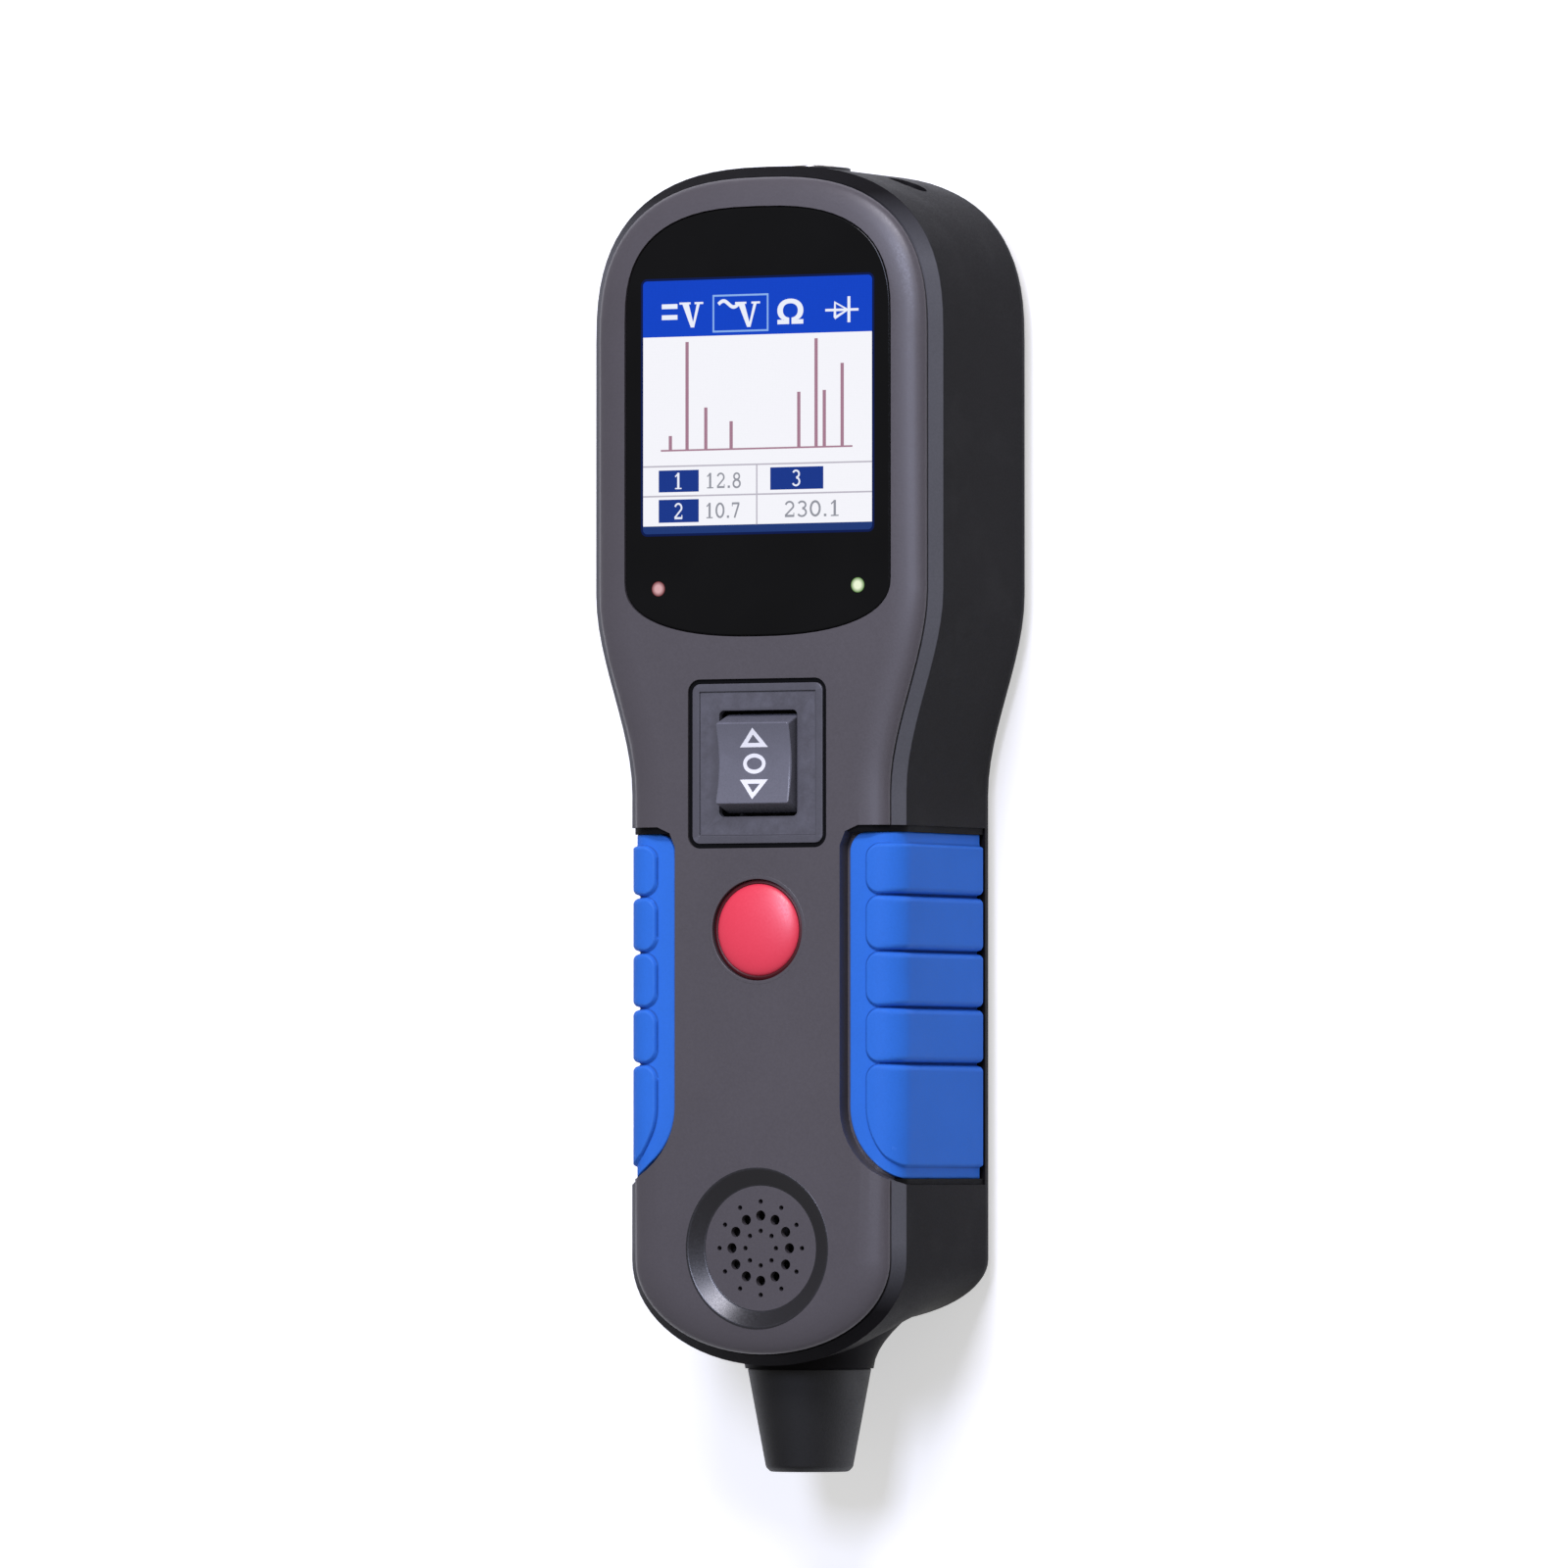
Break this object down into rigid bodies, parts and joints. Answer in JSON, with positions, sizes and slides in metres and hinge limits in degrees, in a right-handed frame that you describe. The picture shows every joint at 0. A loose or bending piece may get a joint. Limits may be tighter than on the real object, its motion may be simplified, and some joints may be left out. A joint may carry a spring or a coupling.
{
  "type": "automotive circuit tester",
  "caption": "Handheld car circuit tester with a colour display, rocker switch, push button, speaker grille, inlaid rubber grips, a probe socket on top and a cable boot below.",
  "frame": {"origin": "middle of the box round the whole tester, on the face it rests on", "axes": "+X to the right as seen from the front, +Y along the length towards the probe socket, +Z out of the front, away from the back it lies on"},
  "size_m": [0.0684, 0.228, 0.041],
  "materials": {
    "cover_grey": "fine satin texture",
    "case_black": "fine satin texture",
    "grip_blue": "soft satin rubber",
    "window_black": "polished clear plastic, black backed",
    "display_blue": "lit colour display",
    "frame_plastic": "satin",
    "board_green": "circuit board",
    "steel": "zinc plated",
    "brass": "turned brass",
    "connector_ivory": "moulded",
    "ribbon_orange": "flexible film",
    "led_red": "diffuse lens",
    "led_green": "diffuse lens",
    "switch_grey": "satin",
    "rocker_grey": "smooth moulded plastic",
    "switch_black": "moulded",
    "button_red": "smooth moulded plastic",
    "foam_black": "foam rubber",
    "cone_black": "paper-like cone",
    "magnet_grey": "ferrite",
    "relay_blue": "moulded",
    "terminal_green": "moulded",
    "lens_clear": "clear moulded lens",
    "lamp_white": "diffuse lamp",
    "boot_black": "soft rubber"
  },
  "bodies": {
    "case": {"front_cover": "cover_grey", "rear_cover": "case_black", "grip_left": "grip_blue", "grip_right": "grip_blue", "display_window": "window_black", "display_panel": "display_blue", "display_holder": "frame_plastic", "display_board": "board_green", "display_screws": "steel", "display_connector": "connector_ivory", "display_ribbon": "ribbon_orange", "board_connector": "connector_ivory", "led_red": "led_red", "led_green": "led_green", "switch_plate": "switch_grey", "switch_body": "switch_black", "switch_terminals": "brass", "button_board": "board_green", "tact_switch": "steel", "button_screws": "steel", "button_header": "switch_black", "speaker_gasket": "foam_black", "speaker_basket": "steel", "speaker_cone": "cone_black", "speaker_magnet": "magnet_grey", "speaker_clamp": "steel", "speaker_screws": "steel", "main_board": "board_green", "board_screws": "steel", "relay": "relay_blue", "controller_chip": "switch_black", "capacitors": "relay_blue", "lead_terminal": "terminal_green", "case_screws": "steel", "socket_collar": "switch_black", "probe_socket": "brass", "socket_nut": "steel", "probe_tag": "brass", "light_lens_left": "lens_clear", "light_lens_right": "lens_clear", "light_led_left": "lamp_white", "light_led_right": "lamp_white", "cable_boot": "boot_black", "cable_clamp": "steel", "clamp_screws": "steel"},
    "rocker": {"rocker": "rocker_grey"},
    "button": {"button_cap": "button_red"}
  },
  "joints": [
    {"name": "rocker_tilt", "type": "hinge", "parent": "case", "child": "rocker", "pos_m": [0, 0.0091, 0.0356], "axis": [1, 0, 0], "range_deg": [-7, 7], "stiffness_Nm_per_rad": 0.05},
    {"name": "button_press", "type": "slide", "parent": "case", "child": "button", "axis": [0, 0, -1], "range_m": [0, 0.0008], "stiffness_N_per_m": 600}
  ]
}
